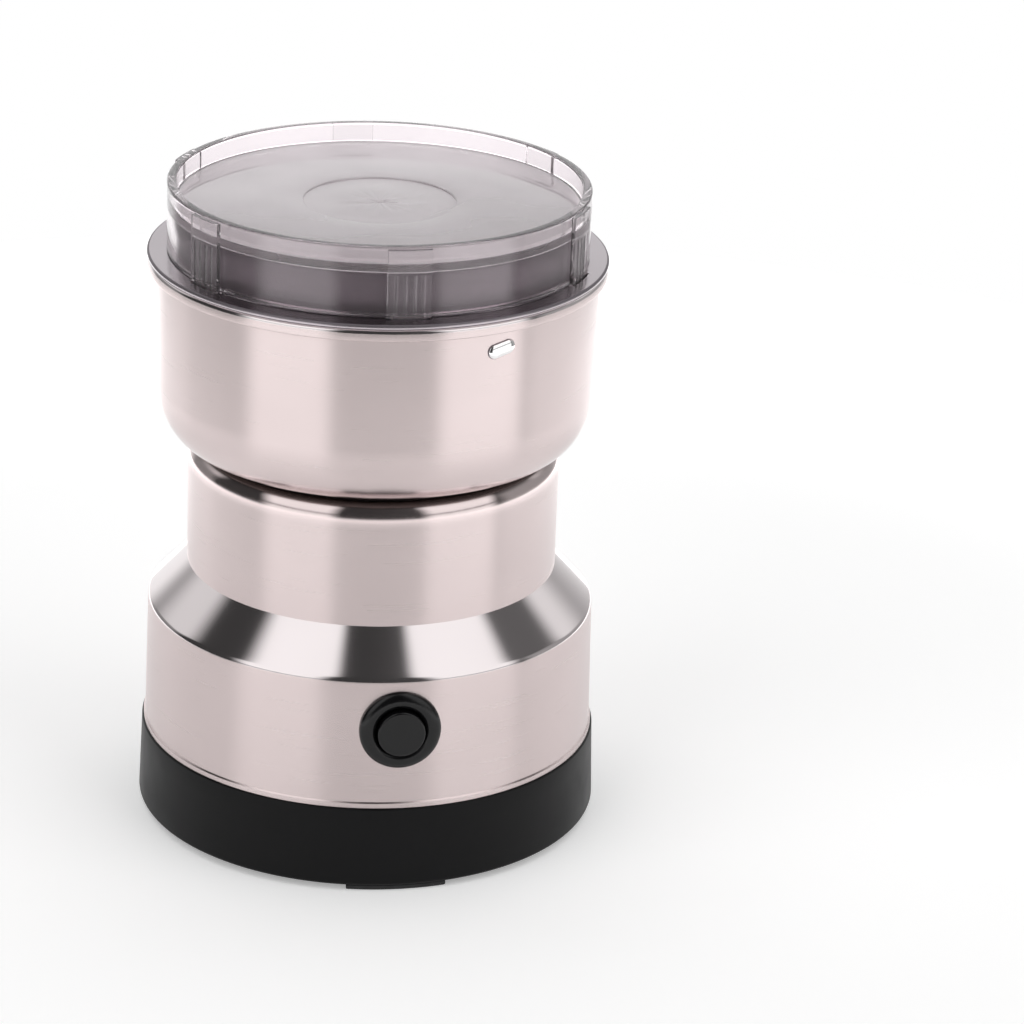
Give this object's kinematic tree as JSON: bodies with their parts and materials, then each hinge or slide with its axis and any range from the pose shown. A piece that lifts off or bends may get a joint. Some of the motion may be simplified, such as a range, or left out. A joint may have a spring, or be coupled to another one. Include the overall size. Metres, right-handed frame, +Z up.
{
  "type": "electric spice grinder",
  "caption": "Small electric spice grinder with a clear lift-off lid, steel bowl and cup, serrated cross blade on a vertical motor, stepped steel body, push button and black base.",
  "frame": {"origin": "on the ground plane under the feet, on the motor's axis", "axes": "+Z up along the motor's axis; the push button faces -Y and the cord gland +Y; +X to the right of the front"},
  "size_m": [0.1062, 0.108, 0.1491],
  "materials": {
    "brushed_stainless": "satin brushed stainless sheet",
    "polished_stud": "polished",
    "clear_lid": "clear, faintly smoky moulded plastic, glossy",
    "black_base": "black moulded plastic, satin",
    "black_switch": "black moulded plastic, semi-gloss",
    "black_rubber": "matt rubber",
    "seal_rubber": "matt rubber",
    "frame_plastic": "natural moulded plastic",
    "switch_body": "black switch body",
    "zinc_fasteners": "zinc plated",
    "spring_steel": "spring wire",
    "cast_aluminium": "die cast",
    "laminated_steel": "stacked laminations",
    "copper_winding": "enamelled copper wire",
    "copper_bars": "bare copper segments",
    "brass_holders": "drawn brass",
    "carbon": "pressed carbon",
    "bearing_steel": "ground steel",
    "shaft_steel": "ground steel",
    "fan_plastic": "moulded plastic",
    "blade_steel": "ground stainless, scratched",
    "bush_chrome": "polished",
    "capacitor_yellow": "moulded box"
  },
  "bodies": {
    "housing": {"base_ring": "black_base", "bezel_nut": "black_switch", "body_shell": "brushed_stainless", "bottom_cover": "black_base", "bottom_screws": "zinc_fasteners", "bowl_support": "frame_plastic", "brush_holders": "brass_holders", "brush_springs": "spring_steel", "button_spring": "spring_steel", "carbon_brushes": "carbon", "clamp_screws": "zinc_fasteners", "cord_clamp": "switch_body", "cord_gland": "black_rubber", "cup_shell": "brushed_stainless", "cup_stud": "polished_stud", "damper_screws": "zinc_fasteners", "feet": "black_rubber", "field_coils": "copper_winding", "grinding_bowl": "brushed_stainless", "inner_frame": "frame_plastic", "interlock_guide": "switch_body", "interlock_spring": "spring_steel", "interlock_switch": "switch_body", "lower_bearing": "bearing_steel", "lower_bracket": "cast_aluminium", "motor_bolts": "zinc_fasteners", "motor_dampers": "black_rubber", "motor_nuts": "zinc_fasteners", "neck_gasket": "seal_rubber", "power_switch": "switch_body", "seal_housing": "cast_aluminium", "seal_nut": "zinc_fasteners", "shaft_seal": "seal_rubber", "stator_core": "laminated_steel", "support_screws": "zinc_fasteners", "suppression_capacitor": "capacitor_yellow", "switch_bezel": "black_switch", "upper_bearing": "bearing_steel", "upper_bracket": "cast_aluminium"},
    "lid": {"lid_cover": "clear_lid"},
    "interlock_pin": {"interlock_pin": "frame_plastic"},
    "rotor": {"motor_shaft": "shaft_steel", "rotor_core": "laminated_steel", "rotor_winding": "copper_winding", "commutator": "copper_bars", "cooling_fan": "fan_plastic", "slinger": "bush_chrome", "blade_bush": "bush_chrome", "blade": "blade_steel"},
    "button": {"push_button": "black_switch", "switch_plunger": "frame_plastic"}
  },
  "joints": [
    {"name": "lid_lift", "type": "slide", "parent": "housing", "child": "lid", "axis": [0, 0, 1], "range_m": [0, 0.06]},
    {"name": "interlock_travel", "type": "slide", "parent": "housing", "child": "interlock_pin", "axis": [0, 0, 1], "range_m": [0, 0.0014], "deforming": ["interlock_spring"]},
    {"name": "blade_spin", "type": "hinge", "parent": "housing", "child": "rotor", "pos_m": [0, 0, 0.1], "axis": [0, 0, 1], "continuous": true},
    {"name": "button_press", "type": "slide", "parent": "housing", "child": "button", "axis": [0, 1, 0], "range_m": [0, 0.0025], "stiffness_N_per_m": 1200, "springref_m": -0.0008, "deforming": ["button_spring"]}
  ],
  "couplings": [
    {"joint": "interlock_travel", "follows": "lid_lift", "ratio": 0.0233}
  ]
}
